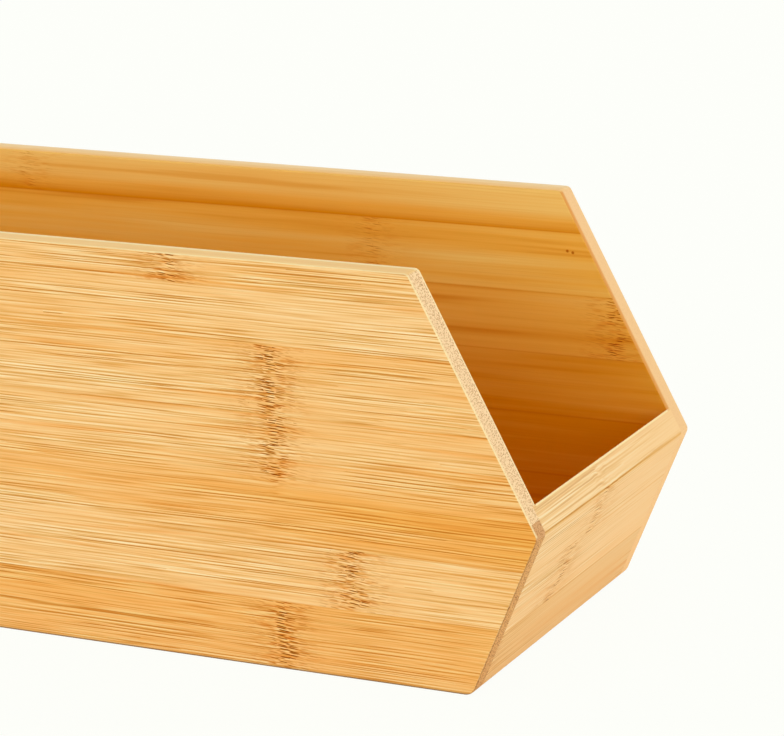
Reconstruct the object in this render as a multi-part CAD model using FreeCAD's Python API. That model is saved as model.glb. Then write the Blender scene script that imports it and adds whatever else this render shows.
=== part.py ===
import FreeCAD, Part
import math
import os
from FreeCAD import Vector

# Open storage box of laminated bamboo: two six-cornered sides, two leaning ends and a base, each
# edge-glued from strips. Millimetres, X along the box, Y from front to back, Z up, and the origin
# on the table under the middle of the base.

# Outline of the sides
length = 380.0               # between the widest corners
height = 130.0
wide_corner_height = 52.5    # of the widest corners above the table
top_inset = 40.0             # of the top corners behind the widest corners
foot_inset = 23.0            # of the foot corners behind the widest corners
top_corner_radius = 2.0
wide_corner_radius = 2.5
foot_corner_radius = 4.0

# Boards
depth = 120.0                # over both sides
side_thickness = 8.0
end_thickness = 7.0
base_thickness = 8.0
rebate_depth = 2.0           # how far the ends and the base are let into the sides
arris_radius = 0.6           # of the sanded edges

# Strips, from the foot up on the sides and ends, from front to back on the base
front_strip_shares = (0.17, 0.15, 0.115, 0.195, 0.17, 0.13, 0.07)
back_strip_shares = (0.105, 0.158, 0.158, 0.158, 0.158, 0.158, 0.105)
end_strip_shares = (0.36, 0.36, 0.28)
base_strip_shares = (0.12, 0.19, 0.19, 0.19, 0.19, 0.12)

# Working values
overrun = 10.0               # of a cutting shape past what it cuts
same_place = 0.0001          # apart at most, for two places that count as one

half_length = length / 2
half_depth = depth / 2
inner_y = half_depth - side_thickness    # of the sides' inner faces
seat_y = inner_y + rebate_depth          # of the rebate floors, where the ends and the base are glued

# Corners of the right half, in X and Z; the left half mirrors them
top_corner = (half_length - top_inset, height)
wide_corner = (half_length, wide_corner_height)
foot_corner = (half_length - foot_inset, 0)

# Directions of an end: up along its outer face, and inwards through its thickness
lean_length = math.hypot(foot_inset, wide_corner_height)
lean_up = (foot_inset / lean_length, wide_corner_height / lean_length)
lean_in = (-lean_up[1], lean_up[0])


def step(start, direction, distance):
    return (start[0] + direction[0] * distance, start[1] + direction[1] * distance)


def end_inner_x(z):
    # Inner face of the right end at this height.
    return foot_corner[0] + (z * lean_up[0] - end_thickness) / lean_up[1]


def mirrored(outline):
    return [(-x, z) for x, z in outline]


def prism(outline, front_y, back_y):
    corners = [Vector(x, front_y, z) for x, z in outline]
    face = Part.Face(Part.makePolygon(corners + corners[:1]))
    return face.extrude(Vector(0, back_y - front_y, 0))


def heading(start, stop):
    distance = math.dist(start, stop)
    return ((stop[0] - start[0]) / distance, (stop[1] - start[1]) / distance)


def corner_arc(before, corner, after, radius):
    # Start, middle and end of a corner's rounding.
    to_before = heading(corner, before)
    to_after = heading(corner, after)
    half_angle = math.acos(to_before[0] * to_after[0] + to_before[1] * to_after[1]) / 2
    reach = radius / math.tan(half_angle)
    start = step(corner, to_before, reach)
    stop = step(corner, to_after, reach)
    middle_of_both = ((start[0] + stop[0]) / 2, (start[1] + stop[1]) / 2)
    middle = step(corner, heading(corner, middle_of_both), radius / math.sin(half_angle) - radius)
    return start, middle, stop


def box_form(front_y, back_y):
    # The whole outline of the sides, its corners rounded, between two places from front to back.
    outline = [foot_corner, wide_corner, top_corner]
    radii = [foot_corner_radius, wide_corner_radius, top_corner_radius]
    outline += reversed(mirrored(outline))
    radii += radii[::-1]
    neighbours = zip(outline[-1:] + outline[:-1], outline, outline[1:] + outline[:1], radii)
    arcs = [[Vector(x, front_y, z) for x, z in corner_arc(*corner)] for corner in neighbours]
    edges = []
    for arc, next_arc in zip(arcs, arcs[1:] + arcs[:1]):
        edges.append(Part.Arc(*arc).toShape())
        edges.append(Part.makeLine(arc[-1], next_arc[0]))
    return Part.Face(Part.Wire(edges)).extrude(Vector(0, back_y - front_y, 0))


def sand_rim(solid, y):
    # Rounds the rim of the face that lies across Y at this place.
    rim = [edge for edge in solid.Edges if all(abs(vertex.Y - y) < same_place for vertex in edge.Vertexes)]
    return solid.makeFillet(arris_radius, rim)


def level_block(low_z, high_z, front_y, back_y):
    # As long as the box, between two heights.
    reach = half_length + overrun
    return prism([(-reach, low_z), (reach, low_z), (reach, high_z), (-reach, high_z)], front_y, back_y)


def leaning_block(low, high, thickness, half_width):
    # On the lean of the right end: from below its outer face to this far into it.
    outer = step(foot_corner, lean_in, -overrun)
    lower = step(outer, lean_up, low)
    upper = step(outer, lean_up, high)
    through = overrun + thickness
    outline = [lower, upper, step(upper, lean_in, through), step(lower, lean_in, through)]
    return prism(outline, -half_width, half_width)


def to_left(solid):
    return solid.mirror(Vector(0, 0, 0), Vector(1, 0, 0))


def to_back(solid):
    return solid.mirror(Vector(0, 0, 0), Vector(0, 1, 0))


def end_space():
    # What the right end fills, and a little more beyond its outline.
    reach = end_thickness + overrun
    return leaning_block(-reach, lean_length + reach, end_thickness, seat_y)


def front_side():
    board = box_form(-half_depth, -inner_y)
    board = sand_rim(board, -half_depth)
    board = sand_rim(board, -inner_y)

    # Rebates for the ends, along the lower cut edges, and for the base, along the foot
    base_space = level_block(-overrun, base_thickness, -seat_y, seat_y)
    return board.cut([end_space(), to_left(end_space()), base_space])


def right_end():
    return box_form(-seat_y, seat_y).common(end_space())


def base():
    right = [(end_inner_x(0), 0), (end_inner_x(base_thickness), base_thickness)]
    return prism(right + list(reversed(mirrored(right))), -seat_y, seat_y)


def strip_limits(shares, span):
    # Where each strip starts and stops across its board; the outermost two run past the board.
    limits = [span * sum(shares[:count]) for count in range(len(shares) + 1)]
    limits[0] = -overrun
    limits[-1] = span + overrun
    return list(zip(limits[:-1], limits[1:]))


def side_strips(board, shares):
    return [board.common(level_block(low, high, -depth, depth))
            for low, high in strip_limits(shares, height)]


def end_strips(board):
    return [board.common(leaning_block(low, high, end_thickness + overrun, depth))
            for low, high in strip_limits(end_strip_shares, lean_length)]


def base_strips(board):
    return [board.common(level_block(-overrun, height, low - seat_y, high - seat_y))
            for low, high in strip_limits(base_strip_shares, seat_y + seat_y)]


def write_strips(board_name, strips):
    for number, strip in enumerate(strips, start=1):
        name = f"{board_name}_strip_{number}"
        solid, = strip.Solids
        solid.exportStep(f"parts/{name}.step")
        print(name, round(solid.Volume), "cubic mm")


os.makedirs("parts", exist_ok=True)
side_board = front_side()
right_strips = end_strips(right_end())
write_strips("front_side", side_strips(side_board, front_strip_shares))
write_strips("back_side", side_strips(to_back(side_board), back_strip_shares))
write_strips("right_end", right_strips)
write_strips("left_end", [to_left(strip) for strip in right_strips])
write_strips("base", base_strips(base()))
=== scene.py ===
import math
import bpy
import bmesh
from mathutils import Matrix, Vector


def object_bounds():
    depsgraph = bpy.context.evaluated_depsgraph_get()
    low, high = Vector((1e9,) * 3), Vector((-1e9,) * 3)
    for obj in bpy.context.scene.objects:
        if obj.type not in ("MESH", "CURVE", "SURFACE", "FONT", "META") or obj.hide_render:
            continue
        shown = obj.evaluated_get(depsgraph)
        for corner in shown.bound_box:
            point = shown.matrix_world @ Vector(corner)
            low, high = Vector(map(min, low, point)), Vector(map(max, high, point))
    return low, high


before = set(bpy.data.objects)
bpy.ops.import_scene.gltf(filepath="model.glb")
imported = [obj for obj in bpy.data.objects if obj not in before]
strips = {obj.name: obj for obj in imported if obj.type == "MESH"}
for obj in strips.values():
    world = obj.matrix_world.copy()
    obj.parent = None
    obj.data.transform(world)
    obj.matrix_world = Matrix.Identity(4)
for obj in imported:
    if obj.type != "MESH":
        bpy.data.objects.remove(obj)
cadLow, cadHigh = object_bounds()
print("frame loaded:", len(strips), "strips")

mm = 1000.0  # millimetres in a metre, so that grain is written in millimetres


# Shader sums

class Thread:  # one output socket of a material, ready for sums
    def __init__(self, tree, socket=None):
        self.tree = tree
        self.socket = socket

    def node(self, kind, settings=None, sockets=None, output=0):
        made = self.tree.nodes.new("ShaderNode" + kind)
        for name, value in (settings or {}).items():
            if name == "stops":
                setStops(made.color_ramp, value)
            else:
                setattr(made, name, value)
        for name, value in (sockets or {}).items():
            if isinstance(value, Thread):
                self.tree.links.new(value.socket, made.inputs[name])
            else:
                made.inputs[name].default_value = value
        return Thread(self.tree, made.outputs[output] if made.outputs else None)

    def other(self, output):  # another output of the same node
        return Thread(self.tree, self.socket.node.outputs[output])

    def maths(self, operation, *values):
        return self.node("Math", {"operation": operation}, dict(enumerate(values)))

    def __add__(self, value):
        return self.maths("ADD", self, value)

    def __radd__(self, value):
        return self.maths("ADD", value, self)

    def __sub__(self, value):
        return self.maths("SUBTRACT", self, value)

    def __rsub__(self, value):
        return self.maths("SUBTRACT", value, self)

    def __mul__(self, value):
        return self.maths("MULTIPLY", self, value)

    def __rmul__(self, value):
        return self.maths("MULTIPLY", value, self)

    def __truediv__(self, value):
        return self.maths("DIVIDE", self, value)

    def __rtruediv__(self, value):
        return self.maths("DIVIDE", value, self)

    def __abs__(self):
        return self.maths("ABSOLUTE", self)

    def larger(self, value):
        return self.maths("MAXIMUM", self, value)

    def smaller(self, value):
        return self.maths("MINIMUM", self, value)

    def fade(self, start, stop):  # 0 at start, 1 at stop, eased; start may be the larger one
        low, high = min(start, stop), max(start, stop)
        ends = {"To Min": float(start > stop), "To Max": float(start <= stop)}
        limits = {"Value": self, "From Min": low, "From Max": high}
        return self.node("MapRange", {"interpolation_type": "SMOOTHSTEP"}, {**limits, **ends})

    def hump(self, width):  # 1 at zero, falling off either way over this width
        share = self / width
        return self.maths("EXPONENT", share * share * -1.0)

    def tint(self, colour, factor, mode="MIX"):
        settings = {"data_type": "RGBA", "blend_type": mode}
        return self.node("Mix", settings, {0: factor, 6: self, 7: colour}, 2)

    def shaded(self, stops, amount):  # multiplied by a shade that deepens with the amount
        shade = amount.node("ValToRGB", {"stops": stops}, {0: amount})
        return self.tint(shade, 1.0, "MULTIPLY")


def setStops(ramp, stops):
    while len(ramp.elements) < len(stops):
        ramp.elements.new(1.0)
    for element, (place, colour) in zip(ramp.elements, stops):
        element.position = place
        element.color = colour


def linear(red, green, blue):  # a screen colour, 0 to 255, as the renderer's own light
    def channel(value):
        share = value / 255.0
        return share / 12.92 if share <= 0.04045 else ((share + 0.055) / 1.055) ** 2.4
    return (channel(red), channel(green), channel(blue), 1.0)


# Bamboo: long fibres along the strip, growth nodes across it, fibre ends as dots where it is cut

plain = (1.0, 1.0, 1.0, 1.0)

bamboo = {
    "cream": linear(250, 212, 155),
    "pale": linear(247, 200, 132),
    "amber": linear(242, 173, 83),
    "deep": linear(223, 138, 8),
    "ember": linear(240, 163, 72),     # warm streaks on an outer face
    "emberShare": 0.6,
    "lightFibre": (1.03, 1.4, 2.0, 1.0),
    "fibreShades": ((0.0, plain), (0.5, (0.85, 0.73, 0.5, 1.0)), (1.0, (0.67, 0.47, 0.22, 1.0))),
    "nodeShades": ((0.0, plain), (0.5, (0.68, 0.43, 0.17, 1.0)), (1.0, (0.34, 0.16, 0.03, 1.0))),
    "nodeLight": (1.1, 1.26, 1.36, 1.0),
    "rustShades": ((0.0, plain), (1.0, (0.9, 0.66, 0.38, 1.0))),
    "seamShades": ((0.0, plain), (1.0, (0.88, 0.7, 0.4, 1.0))),
    "seamShare": 0.6,
    # painted shade: the inner faces deeper and more golden
    "insidePaintedShade": (0.98, 1.03, 0.7, 1.0),
    "cutBrown": linear(214, 158, 102),
    "cutDot": (0.44, 0.3, 0.16, 1.0),
    "cutSpeck": (1.04, 1.14, 1.22, 1.0),
    # painted highlight along the arrises
    "arris": linear(255, 234, 175),
    # painted contact shadow along the foot, and painted shade on lower outer arrises
    "paintedFootShadow": linear(112, 70, 28),
    "paintedFootShadowShare": 0.75,
    "lineSize": (120.0, 2.1, 2.1),     # along, across and through the strip, in millimetres
    "lineWidth": 0.3,
    "threadSize": (60.0, 1.15, 1.15),
    "threadWidth": 0.26,
    "dashSize": (3.6, 0.8, 0.8),
    "dashWidth": 0.25,
    "dashSlope": 0.08,
    "fineSize": (22.0, 0.55, 0.55),
    "bandSize": (120.0, 3.4, 3.4),
    "driftSize": (110.0, 9.0, 9.0),
    "swaySize": (110.0, 22.0, 22.0),
    "swayBy": 1.6,
    "busySize": (90.0, 6.0, 6.0),
    "rippleSize": (6.0, 3.5, 3.5),
    "rippleBy": 0.7,
    "wanderSize": (60.0, 5.0, 5.0),
    "wanderBy": 6.0,
    "patchSize": (12.0, 4.0, 4.0),
    "blotchSize": (6.0, 1.2, 1.2),
    "poreSize": (300.0, 0.54, 0.54),
    "nodeCore": 2.7,
    "nodeReach": 10.5,
    "crowding": 5.0,                   # how many times shorter the fibres are in a node
    "unevenness": {"drift": 0.25, "band": 0.35},
    "lights": (0.45, 0.4, 0.55),       # of the fine grain, the lines and the threads
    "darks": (0.4, 0.55, 0.85),
    "coreDashes": (0.7, 0.6),          # everywhere in a node's core, and more in patches
    "reachDashes": (0.25, 0.5),
    "shifts": (61.3, 23.7, 41.9),      # of the pattern, from one strip to the next
    "roughness": 0.45,
    "relief": {"Strength": 0.02, "Distance": 0.00005},
}

# Each board: its strips' axes along, across and through them, its lean about Y, which way its inner face
# looks along the third axis, where past a node its fibres are faint, how far about that and by how much.
# Each strip: warmth at its foot, middle and top, one of its growth nodes, how far apart these are, and the
# warmth gained over 100 mm along it.

frontBoard = {
    "axes": "XZY",
    "lean": 0.0,
    "inner": 1.0,
    "specular": 0.03,
    "calm": (14.0, 10.0, 0.45),
    "outside": {"paintedShadeWarmth": 0.0, "grain": 1.0, "mark": 1.0, "streaks": 1.0},
    "inside": {"paintedShadeWarmth": 0.3, "grain": 0.4, "mark": 0.6, "streaks": 1.0},
    "cut": linear(244, 204, 152),
    "cutUnderPaintedShade": linear(220, 160, 90),
    "pores": 1.0,
    "arrises": (0.7, 1.0),             # strength of the painted highlight on the outer and the inner arris
    # painted light: the top edge face paler, as lit from above
    "topOuterPaintedLight": linear(255, 212, 141),
    "topInnerPaintedLight": linear(255, 212, 141),
    "strips": {
        "front_side_strip_1": {
            "warmth": (0.5, 0.56, 0.58), "node": 103.5, "internode": 236.0, "streaks": 0.3, "grain": 1.25,
        },
        "front_side_strip_2": {
            "warmth": (0.34, 0.32, 0.34), "node": 128.5, "internode": 252.0, "slope": 0.07,
        },
        "front_side_strip_3": {
            "warmth": (0.42, 0.55, 0.54), "node": -62.0, "internode": 300.0, "slope": 0.13,
            "cut": "cutBrown",
        },
        "front_side_strip_4": {
            "warmth": (0.58, 0.36, 0.38), "node": 102.5, "internode": 244.0, "slope": 0.04, "bare": 5.0,
        },
        "front_side_strip_5": {
            "warmth": (0.38, 0.39, 0.5), "node": 102.0, "internode": 262.0, "slope": 0.03,
        },
        "front_side_strip_6": {
            "warmth": (0.4, 0.36, 0.4), "node": -84.0, "internode": 310.0, "slope": -0.08,
        },
        "front_side_strip_7": {
            "warmth": (0.42, 0.42, 0.42), "node": 69.0, "internode": 228.0, "grain": 1.25,
        },
    },
}

backBoard = {
    "axes": "XZY",
    "lean": 0.0,
    "inner": -1.0,
    "specular": 0.02,
    "calm": (-14.0, 10.0, 0.5),
    "outside": {"paintedShadeWarmth": -0.35, "grain": 1.0, "mark": 1.0, "streaks": 1.0},
    "inside": {"paintedShadeWarmth": 0.0, "grain": 0.1, "mark": 0.24, "streaks": 1.6},
    "cut": linear(244, 200, 142),
    "cutUnderPaintedShade": linear(248, 202, 140),
    "cutInnerPaintedShade": linear(226, 152, 66),
    "pores": 0.1,
    "arrises": (0.4, 0.0),
    # painted light: the top edge face paler outward, deeper towards the inside
    "topOuterPaintedLight": linear(255, 228, 178),
    "topInnerPaintedLight": linear(252, 196, 112),
    # The warmth deepening towards the foot is painted shade on the inner face; the outer face takes it less
    # deep
    "strips": {
        "back_side_strip_1": {"warmth": (1.1, 1.1, 1.1), "node": -20.0, "internode": 300.0},
        "back_side_strip_2": {"warmth": (1.1, 1.1, 1.05), "node": -121.0, "internode": 320.0},
        "back_side_strip_3": {"warmth": (1.05, 1.0, 0.98), "node": 20.0, "internode": 300.0},
        "back_side_strip_4": {"warmth": (0.98, 0.9, 0.82), "node": -24.0, "internode": 270.0},
        "back_side_strip_5": {
            "warmth": (0.84, 0.74, 0.68), "node": 169.0, "internode": 248.0, "mark": 2.2,
        },
        "back_side_strip_6": {
            "warmth": (0.6, 0.6, 0.72), "node": 82.0, "internode": 238.0,
            # painted light: this strip a little lighter and more golden against the shade deep inside
            "shade": (1.01, 1.03, 0.97, 1.0), "flecks": ((152.0, 110.3), (153.9, 109.9)),
        },
        "back_side_strip_7": {
            "warmth": (1.0, 0.43, 0.39), "node": -50.0, "internode": 226.0, "slope": -0.05, "streaks": 0.6,
        },
    },
}

rightEnd = {
    "axes": "YZX",
    "lean": -23.66,
    "inner": -1.0,
    "specular": 0.04,
    "calm": (70.0, 60.0, 0.85),
    "dash": (7.0, 0.8, 0.8),
    "outside": {"paintedShadeWarmth": 0.0, "grain": 0.75, "mark": 0.6, "streaks": 0.7},
    "inside": {"paintedShadeWarmth": 0.4, "grain": 0.3, "mark": 0.4, "streaks": 1.0},
    "cut": linear(251, 214, 163),
    "cutUnderPaintedShade": linear(248, 202, 140),
    "pores": 0.5,
    "strips": {
        "right_end_strip_1": {
            "warmth": (0.38, 0.34, 0.3), "node": -54.0, "internode": 250.0, "slope": -0.08, "mark": 0.3,
            # painted shade: the end's foot strip darker
            "shade": (0.95, 0.96, 0.97, 1.0),
        },
        "right_end_strip_2": {"warmth": (0.24, 0.18, 0.17), "node": -20.0, "internode": 240.0},
        "right_end_strip_3": {"warmth": (0.2, 0.2, 0.22), "node": -7.0, "internode": 244.0},
    },
}

leftEnd = {
    "axes": "YZX",
    "lean": 23.66,
    "inner": 1.0,
    "specular": 0.04,
    "calm": (14.0, 10.0, 0.65),
    "dash": (7.0, 0.8, 0.8),
    "outside": {"paintedShadeWarmth": 0.0, "grain": 0.8, "mark": 0.8, "streaks": 1.0},
    "inside": {"paintedShadeWarmth": 0.4, "grain": 0.3, "mark": 0.5, "streaks": 1.0},
    "cut": linear(251, 214, 163),
    "cutUnderPaintedShade": linear(248, 202, 140),
    "pores": 0.5,
    "strips": {
        "left_end_strip_1": {"warmth": (0.3, 0.25, 0.2), "node": 24.0, "internode": 246.0},
        "left_end_strip_2": {"warmth": (0.4, 0.45, 0.4), "node": -78.0, "internode": 236.0},
        "left_end_strip_3": {"warmth": (0.2, 0.2, 0.25), "node": 11.0, "internode": 258.0},
    },
}

baseBoard = {
    "axes": "XYZ",
    "lean": 0.0,
    "inner": 1.0,
    "specular": 0.04,
    "calm": (14.0, 10.0, 0.65),
    "outside": {"paintedShadeWarmth": 0.0, "grain": 0.9, "mark": 0.9, "streaks": 1.0},
    "inside": {"paintedShadeWarmth": 0.3, "grain": 0.4, "mark": 0.6, "streaks": 1.0},
    "cut": linear(251, 214, 163),
    "cutUnderPaintedShade": linear(248, 202, 140),
    "pores": 0.5,
    "strips": {
        "base_strip_1": {"warmth": (0.6, 0.6, 0.6), "node": -96.0, "internode": 238.0},
        "base_strip_2": {"warmth": (0.7, 0.75, 0.7), "node": 54.0, "internode": 250.0},
        "base_strip_3": {"warmth": (0.5, 0.5, 0.55), "node": -18.0, "internode": 242.0},
        "base_strip_4": {"warmth": (0.6, 0.55, 0.5), "node": 116.0, "internode": 260.0},
        "base_strip_5": {"warmth": (0.7, 0.7, 0.65), "node": -132.0, "internode": 234.0},
        "base_strip_6": {"warmth": (0.5, 0.5, 0.5), "node": 22.0, "internode": 248.0},
    },
}


def stretch(grain, size):
    return grain.node("VectorMath", {"operation": "DIVIDE"}, {0: grain, 1: size})


def noise(grain, size, detail=1.0):
    sockets = {"Vector": stretch(grain, size), "Scale": 1.0, "Detail": detail, "Roughness": 0.55}
    return grain.node("TexNoise", None, sockets)


def cells(grain, size):
    sockets = {"Vector": stretch(grain, size), "Scale": 1.0, "Randomness": 1.0}
    return grain.node("TexVoronoi", {"feature": "F1"}, sockets)


def spindles(grain, size, width):  # thin tapering lines, one to a cell, and the light flanks of each
    stretched = stretch(grain, size)
    sockets = {"Vector": stretched, "Scale": 1.0, "Randomness": 0.8}
    centre = grain.node("TexVoronoi", {"feature": "F1"}, sockets, "Position")
    chance = centre.node("SeparateColor", None, {0: centre.other("Color")})
    apart = centre.node("VectorMath", {"operation": "SUBTRACT"}, {0: stretched, 1: centre})
    apart = apart.node("SeparateXYZ", None, {0: apart})
    strength = abs(apart).fade(0.62, 0.22) * (0.15 + chance * 0.85)
    aside = apart.other("Y") * size[1]
    line = abs(aside).fade(width, width * 0.25) * strength
    flank = (abs(aside) - width * 1.6).hump(width * 0.7) * strength
    return line, flank


def span(strip, board, axis):  # lowest and highest place of a strip along one of its board's axes
    turn = Matrix.Rotation(math.radians(board["lean"]), 3, "Y")
    place = "XYZ".index(board["axes"][axis])
    places = [(turn @ corner.co)[place] * mm for corner in strip.data.vertices]
    return min(places), max(places)


def grey(value):
    return (value, value, value, 1.0)


def paintStrip(name, board, look, number):
    strip = strips[name]
    material = bpy.data.materials.new(name + "_bamboo")
    material.use_nodes = True
    tree = material.node_tree
    shader = tree.nodes["Principled BSDF"]
    start = Thread(tree)
    low, high = span(strip, board, 1)
    innermost, outermost = span(strip, board, 2)[::int(-board["inner"])]

    # Place along, across and through the strip, and the same for the way its surface faces
    place = start.node("TexCoord", None, None, "Object")
    facing = place.other("Normal")
    aboveFloor = place.node("SeparateXYZ", None, {0: place}, "Z") * mm
    turn = (0.0, math.radians(board["lean"]), 0.0)
    turned = {"Vector": place, "Rotation": turn, "Scale": (mm, mm, mm)}
    place = place.node("Mapping", {"vector_type": "POINT"}, turned)
    facing = facing.node("Mapping", {"vector_type": "VECTOR"}, {"Vector": facing, "Rotation": turn})
    place = place.node("SeparateXYZ", None, {0: place})
    facing = facing.node("SeparateXYZ", None, {0: facing})
    along, across, through = (place.other(axis) for axis in board["axes"])
    faceAlong, faceAcross, faceThrough = (facing.other(axis) for axis in board["axes"])
    inside = (faceThrough * board["inner"]).fade(0.3, 0.8)
    bevel = faceAcross.fade(0.4, 0.6)
    upward = faceAcross.fade(0.6, 0.95)
    under = faceAcross.fade(-0.1, -0.35)
    fromInner = abs(through - innermost)
    fromOuter = abs(through - outermost)

    def outToIn(quality):  # a quality of the outer face that turns to that of the inner face
        outer, inner = board["outside"][quality], board["inside"][quality]
        return outer + inside * (inner - outer)

    alongShift, acrossShift, throughShift = (number * shift for shift in bamboo["shifts"])
    alongPlace, acrossPlace, throughPlace = along + alongShift, across + acrossShift, through + throughShift
    raw = start.node("CombineXYZ", None, {0: alongPlace, 1: acrossPlace, 2: throughPlace})

    # Growth nodes repeat along the strip, each on a wandering line
    wander = noise(raw, bamboo["wanderSize"]) - 0.5
    fromNode = along - look["node"] + wander * bamboo["wanderBy"]
    half = look["internode"] / 2.0
    offset = fromNode.maths("WRAP", fromNode, half, -half)
    passed = (fromNode - offset) / half
    core = offset.hump(bamboo["nodeCore"])
    reach = offset.hump(bamboo["nodeReach"])
    calmPlace, calmReach, calming = board["calm"]
    calm = 1.0 - (offset - calmPlace).hump(calmReach) * calming

    # Fibres sway slowly, ripple about a node and are short inside it
    squeeze = offset.maths("TANH", offset / bamboo["nodeCore"])
    crowded = alongPlace + (squeeze + passed) * (bamboo["nodeCore"] * bamboo["crowding"])
    sway = noise(raw, bamboo["swaySize"]) - 0.5
    ripple = noise(raw, bamboo["rippleSize"]) - 0.5
    swayed = acrossPlace + sway * bamboo["swayBy"] + ripple * reach * bamboo["rippleBy"]
    slanted = swayed + offset * bamboo["dashSlope"]
    grain = start.node("CombineXYZ", None, {0: crowded, 1: swayed, 2: throughPlace})
    dashes = start.node("CombineXYZ", None, {0: alongPlace, 1: slanted, 2: throughPlace})

    line, lineFlank = spindles(grain, bamboo["lineSize"], bamboo["lineWidth"])
    thread, threadFlank = spindles(grain, bamboo["threadSize"], bamboo["threadWidth"])
    dash, dashFlank = spindles(dashes, board.get("dash", bamboo["dashSize"]), bamboo["dashWidth"])
    fine = noise(grain, bamboo["fineSize"], 0.5)
    band = noise(grain, bamboo["bandSize"], 2.0)
    drift = noise(raw, bamboo["driftSize"])

    # Tone across the strip
    share = (across - low) / (high - low)
    stops = [(stop, grey(warmth)) for stop, warmth in zip((0.0, 0.5, 1.0), look["warmth"])]
    warmth = share.node("ValToRGB", {"stops": stops}, {0: share})
    streaks = outToIn("streaks") * look.get("streaks", 1.0)
    unevenness = (drift - 0.5) * bamboo["unevenness"]["drift"] + (band - 0.5) * bamboo["unevenness"]["band"]
    # Painted shade: the inner faces' warmth is raised, and the back's outer face lowered, so the inside of
    # the box reads deeper
    warmth = warmth + outToIn("paintedShadeWarmth") + unevenness * streaks
    warmth = warmth + (along - 60.0) * (look.get("slope", 0.0) / 100.0)
    tones = zip((0.0, 0.33, 0.67, 1.0), (bamboo[tone] for tone in ("cream", "pale", "amber", "deep")))
    tone = warmth.node("ValToRGB", {"stops": list(tones)}, {0: warmth})
    tone = tone.tint(bamboo["ember"], band.fade(0.57, 0.74) * streaks * (1.0 - inside) * bamboo["emberShare"])
    # Painted shade: inner faces multiplied deeper and more golden, as if shaded inside the box
    tone = tone.tint(bamboo["insidePaintedShade"], inside, "MULTIPLY")
    # A strip's own multiplier: painted shade on the right end's foot strip, painted light on the back's sixth
    # strip
    tone = tone.tint(look.get("shade", plain), 1.0, "MULTIPLY")
    tone = tone.shaded(bamboo["seamShades"], band.fade(0.56, 0.72) * inside * bamboo["seamShare"])

    # Fibres: long lines with a light flank, shorter threads, and a fine grain under both
    busy = noise(raw, bamboo["busySize"]).fade(0.34, 0.66)
    contrast = outToIn("grain") * look.get("grain", 1.0) * calm * (0.6 + busy * 0.75) * (1.0 + bevel)
    fineLight, lineLight, threadLight = bamboo["lights"]
    fineDark, lineDark, threadDark = bamboo["darks"]
    light = fine.fade(0.5, 0.76) * fineLight + lineFlank * lineLight + threadFlank * threadLight
    dark = fine.fade(0.5, 0.24) * fineDark + line * lineDark + thread * threadDark
    light = light * (1.0 - dark).larger(0.0)
    tone = tone.tint(bamboo["lightFibre"], light * contrast, "MULTIPLY")
    tone = tone.shaded(bamboo["fibreShades"], dark * contrast)

    # Node: rusty blotches, and slanting dashes with a light flank
    mark = outToIn("mark") * look.get("mark", 1.0) * (1.0 - bevel * 0.8)
    if "bare" in look:  # the node stops short of the strip's foot
        mark = mark * (across - low).fade(look["bare"] - 2.0, look["bare"] + 1.0)
    patch = noise(raw, bamboo["patchSize"]).fade(0.32, 0.6)
    blotch = noise(raw, bamboo["blotchSize"]).fade(0.5, 0.7)
    coreAll, corePatch = bamboo["coreDashes"]
    reachAll, reachPatch = bamboo["reachDashes"]
    marks = dash * (core * (coreAll + patch * corePatch) + reach * (reachAll + patch * reachPatch)) * mark
    rust = (blotch * reach * 0.9 + core * 0.12) * (mark + inside * 0.3)
    tone = tone.shaded(bamboo["rustShades"], rust)
    tone = tone.tint(bamboo["nodeLight"], dashFlank * (core + reach * 0.3) * mark, "MULTIPLY")
    tone = tone.shaded(bamboo["nodeShades"], marks)

    for fleckAlong, fleckAcross in look.get("flecks", ()):  # tiny dark flecks on the inner face
        aside = start.node("CombineXYZ", None, {0: along - fleckAlong, 1: across - fleckAcross})
        distance = aside.node("VectorMath", {"operation": "LENGTH"}, {0: aside}, "Value")
        tone = tone.shaded(bamboo["nodeShades"], distance.fade(0.7, 0.2) * inside * 0.7)

    # Glue seam at the strip's edges
    fromSeam = (across - low).smaller(high - across)
    tone = tone.shaded(bamboo["seamShades"], fromSeam.fade(0.45, 0.1) * bamboo["seamShare"])

    # Cut ends: pale, darker where they face down as painted shade, with the fibres as dots that are denser
    # towards the inner face
    inward = (through - outermost) / (innermost - outermost)
    pore = cells(raw, bamboo["poreSize"])
    above = bamboo[look["cut"]] if "cut" in look else board["cut"]
    # Painted shade: cut ends that face down take the darker colour
    cut = under.node("Mix", {"data_type": "RGBA"}, {0: under, 6: above, 7: board["cutUnderPaintedShade"]}, 2)
    pores = (0.5 + inward * 0.5 + under * 0.5) * board["pores"]
    cut = cut.tint(bamboo["cutSpeck"], pore.fade(0.4, 0.7) * board["pores"], "MULTIPLY")
    cut = cut.tint(bamboo["cutDot"], pore.fade(0.48, 0.16) * pores, "MULTIPLY")
    if "cutInnerPaintedShade" in board:  # painted shade towards the inner face
        cut = cut.tint(board["cutInnerPaintedShade"], fromInner.fade(2.0, 0.8) * 0.85)
    tone = tone.tint(cut, abs(faceAlong).fade(0.3, 0.6))

    if "arrises" in board:  # a sanded side: painted light on its top, painted highlights on its arrises, painted shade on its lower outer arris
        outerArris, innerArris = board["arrises"]
        edge = abs(faceThrough).fade(0.97, 0.8)
        outer = fromOuter.fade(0.7, 0.35) * edge
        inner = (fromInner - upward * 1.1).fade(1.2, 0.8) * edge
        # Painted light: faces looking up take a paler top colour, as lit from above
        sockets = {0: inward, 6: board["topOuterPaintedLight"], 7: board["topInnerPaintedLight"]}
        top = inward.node("Mix", {"data_type": "RGBA"}, sockets, 2)
        tone = tone.tint(top, upward * 0.9)
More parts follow.
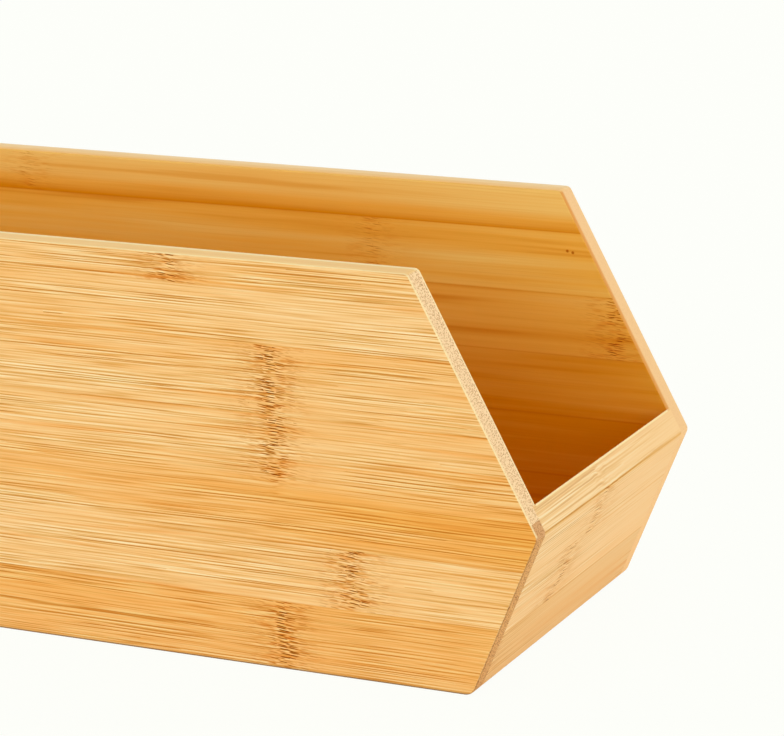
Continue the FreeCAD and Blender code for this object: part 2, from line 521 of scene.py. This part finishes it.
        # Painted highlights along the outer and inner arrises where they look up
        arrisHighlight = (outer * outerArris + inner * innerArris) * faceAcross.fade(0.0, 0.25)
        tone = tone.tint(bamboo["arris"], arrisHighlight)
        # Painted shade on the outer arris where it faces down
        tone = tone.tint(bamboo["paintedFootShadow"], outer * under * 0.32)
    else:  # an end or the base: a bevel painted paler as if lit from above, a line along its outer edge, and a painted highlight on its inner arris
        # Painted light: the up-facing bevel paler, as lit from above
        tone = tone.tint(bamboo["cream"], faceAcross.fade(0.45, 0.7) * 0.4)
        tone = tone.shaded(bamboo["fibreShades"], (faceAcross - 0.4).hump(0.15) * 0.6)
        # Painted highlight along the bevel's inner arris
        arrisHighlight = fromInner.fade(0.7, 0.3) * bevel * abs(along).fade(52.4, 51.4)
        tone = tone.tint(bamboo["arris"], arrisHighlight * 0.8)

    if board is not baseBoard:  # painted contact shadow: a dark line along the foot
        foot = aboveFloor.fade(0.95, 0.35) * faceAcross.fade(-0.97, -0.85)
        tone = tone.tint(bamboo["paintedFootShadow"], foot * bamboo["paintedFootShadowShare"])

    rough = bamboo["roughness"] + line * 0.1 + marks * 0.12
    height = fine * 0.5 - line * 0.6 - marks
    bump = height.node("Bump", None, {"Height": height, **bamboo["relief"]})
    for socket, value in (("Base Color", tone), ("Roughness", rough), ("Normal", bump)):
        tree.links.new(value.socket, shader.inputs[socket])
    shader.inputs["Specular IOR Level"].default_value = board["specular"]
    for slot in strip.material_slots:
        slot.material = material


boards = (frontBoard, backBoard, rightEnd, leftEnd, baseBoard)
looks = [(name, board, look) for board in boards for name, look in board["strips"].items()]
for number, (name, board, look) in enumerate(looks, start=1):
    paintStrip(name, board, look, number)
print("bamboo painted on", len(looks), "strips")


# Floor, light and camera

studio = {
    "floorSize": 6.0,
    "floorDrop": 0.00005,
    "floorTone": (0.95, 0.95, 0.93, 1.0),
    "backdrop": linear(254, 255, 250),
    "floorGlow": 0.965,       # how far the floor is lifted to white for the camera
    "wallLevel": 1.88,        # light from the tent's walls, near the horizon
    "wallTop": (0.28, 0.62),  # where the walls start to give way to the ceiling, and where they end
    "ceilingLevel": 0.36,
    "topLevel": 0.55,         # more, from straight above
    "topReach": (0.72, 0.94),
}


def shown(start):  # 1 where the eye, a gloss or a clear piece looks
    path = start.node("LightPath", None, None, "Is Camera Ray")
    return path.larger(path.other("Is Glossy Ray")).larger(path.other("Is Transmission Ray"))


def layFloor(setup):
    mesh = bpy.data.meshes.new("floor")
    shape = bmesh.new()
    bmesh.ops.create_grid(shape, x_segments=1, y_segments=1, size=setup["floorSize"])
    bmesh.ops.translate(shape, verts=shape.verts, vec=(0.0, 0.0, cadLow[2] - setup["floorDrop"]))
    shape.to_mesh(mesh)
    shape.free()
    floor = bpy.data.objects.new("floor", mesh)
    bpy.context.scene.collection.objects.link(floor)
    material = bpy.data.materials.new("paleFloor")
    material.use_nodes = True
    tree = material.node_tree
    tree.nodes.clear()
    start = Thread(tree)
    matt = start.node("BsdfDiffuse", None, {"Color": setup["floorTone"]})
    glow = start.node("Emission", None, {"Color": setup["backdrop"], "Strength": 1.0})
    both = start.node("MixShader", None, {0: shown(start) * setup["floorGlow"], 1: matt, 2: glow})
    start.node("OutputMaterial", None, {"Surface": both})
    mesh.materials.append(material)


def lightStudio(setup):
    world = bpy.data.worlds.new("studio")
    world.use_nodes = True
    tree = world.node_tree
    tree.nodes.clear()
    start = Thread(tree)
    way = start.node("TexCoord", None, None, "Generated")
    rise = way.node("SeparateXYZ", None, {0: way}, "Z")
    wallEnd, ceilingStart = setup["wallTop"]
    wall = rise.fade(ceilingStart, wallEnd) * (setup["wallLevel"] - setup["ceilingLevel"])
    level = setup["ceilingLevel"] + wall + rise.fade(*setup["topReach"]) * setup["topLevel"]
    sky = start.node("Background", None, {"Color": (1.0, 1.0, 1.0, 1.0), "Strength": level})
    seen = start.node("Background", None, {"Color": setup["backdrop"], "Strength": 1.0})
    both = start.node("MixShader", None, {0: shown(start), 1: sky, 2: seen})
    start.node("OutputWorld", None, {"Surface": both})
    bpy.context.scene.world = world


cameraSetup = {
    "aim": (0.1136, 0.0, 0.0816),
    "distance": 1.123,
    "azimuth": 26.85,
    "elevation": 15.91,
    "roll": -2.075,
    "lens": 163.1,
    "sensor": 36.0,
    "farthest": 20.0,
}


def placeCamera(setup):
    turn, lift = math.radians(setup["azimuth"]), math.radians(setup["elevation"])
    back = Vector((math.sin(turn) * math.cos(lift), -math.cos(turn) * math.cos(lift), math.sin(lift)))
    data = bpy.data.cameras.new("boxCamera")
    data.lens = setup["lens"]
    data.sensor_width = setup["sensor"]
    data.clip_end = setup["farthest"]
    camera = bpy.data.objects.new("boxCamera", data)
    bpy.context.scene.collection.objects.link(camera)
    look = (-back).to_track_quat("-Z", "Y").to_matrix() @ Matrix.Rotation(math.radians(setup["roll"]), 3, "Z")
    camera.matrix_world = Matrix.Translation(Vector(setup["aim"]) + back * setup["distance"]) @ look.to_4x4()
    bpy.context.scene.camera = camera


layFloor(studio)
lightStudio(studio)
placeCamera(cameraSetup)
bpy.context.scene.view_settings.view_transform = "Standard"
print("floor, light and camera set")
